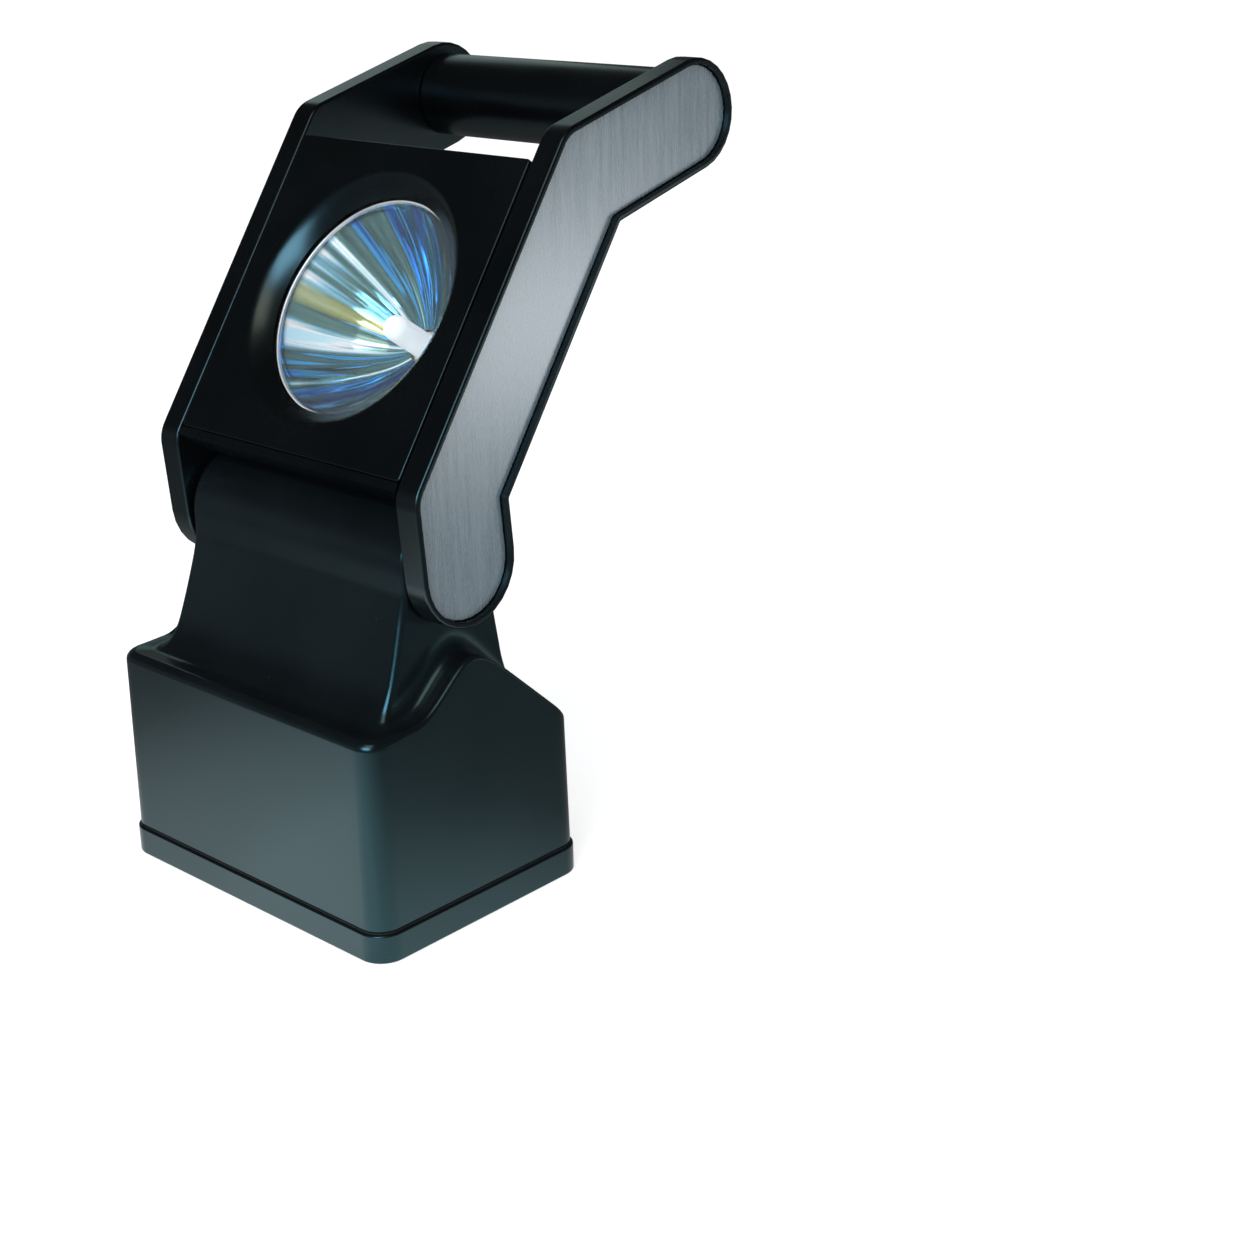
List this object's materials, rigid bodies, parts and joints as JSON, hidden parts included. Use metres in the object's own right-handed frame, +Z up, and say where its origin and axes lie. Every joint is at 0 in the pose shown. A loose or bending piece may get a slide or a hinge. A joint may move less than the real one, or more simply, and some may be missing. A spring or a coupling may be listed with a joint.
{
  "type": "handheld spotlight",
  "caption": "Battery spotlight with a box base, a flared neck, a square lamp head between swept side plates that tilts on a cross pivot, a tube handle and a push switch.",
  "frame": {"origin": "centre of the base's underside, on the surface it stands on", "axes": "+Z up, -Y the way the beam points, +X the lamp's right-hand side seen from the front"},
  "size_m": [0.14, 0.1859, 0.2785],
  "materials": {
    "casing_black": "satin black moulding with a fine grain",
    "head_black": "satin black",
    "trim_brushed": "brushed aluminium, brush lines upright",
    "screw_steel": "plain steel",
    "contact_brass": "plated brass",
    "seal_rubber": "black rubber",
    "lead_grey": "grey sheathed lead",
    "lens_glass": "clear glass",
    "bulb_glass": "clear glass bulb",
    "reflector_mirror": "mirror-bright reflector",
    "ceramic_white": "off-white ceramic",
    "board_green": "green circuit board",
    "cell_grey": "grey battery case"
  },
  "bodies": {
    "base": {"base_casing": "casing_black", "base_plate": "casing_black", "base_seal": "seal_rubber", "base_screw_1": "screw_steel", "base_screw_2": "screw_steel", "base_screw_3": "screw_steel", "base_screw_4": "screw_steel", "charge_contact_1": "contact_brass", "charge_contact_2": "contact_brass", "contact_carrier": "casing_black", "charge_board": "board_green", "battery_left": "cell_grey", "battery_right": "cell_grey", "battery_cradle": "casing_black", "battery_strap": "screw_steel", "pivot_axle": "screw_steel", "friction_disc_left": "seal_rubber", "friction_disc_right": "seal_rubber", "neck_lead": "lead_grey"},
    "head": {"switch_body": "casing_black", "handle_plug_left": "casing_black", "handle_plug_right": "casing_black", "side_plate_left": "head_black", "side_plate_right": "head_black", "head_housing": "head_black", "front_panel": "head_black", "rear_cover": "head_black", "rear_cap": "head_black", "handle_tube": "head_black", "side_trim_left": "trim_brushed", "side_trim_right": "trim_brushed", "rear_screw_1": "screw_steel", "rear_screw_2": "screw_steel", "rear_screw_3": "screw_steel", "rear_screw_4": "screw_steel", "plate_screw_left_low": "screw_steel", "plate_screw_left_high": "screw_steel", "plate_screw_right_low": "screw_steel", "plate_screw_right_high": "screw_steel", "pivot_bolt_left": "screw_steel", "pivot_bolt_right": "screw_steel", "handle_nut_left": "screw_steel", "handle_nut_right": "screw_steel", "handle_rod": "screw_steel", "switch_spring": "screw_steel", "switch_ring": "screw_steel", "pivot_bush_left": "contact_brass", "pivot_bush_right": "contact_brass", "lens_seal": "seal_rubber", "head_lead": "lead_grey", "lens": "lens_glass", "bulb": "bulb_glass", "reflector": "reflector_mirror", "bulb_holder": "ceramic_white", "driver_board": "board_green"},
    "button": {"switch_button": "seal_rubber"}
  },
  "joints": [
    {"name": "head_tilt", "type": "hinge", "parent": "base", "child": "head", "pos_m": [0, 0.0019, 0.1262], "axis": [1, 0, 0], "range_deg": [-30, 80]},
    {"name": "switch_press", "type": "slide", "parent": "head", "child": "button", "axis": [0, -0.8251, 0.565], "range_m": [0, 0.002], "stiffness_N_per_m": 400, "springref_m": -0.001}
  ]
}
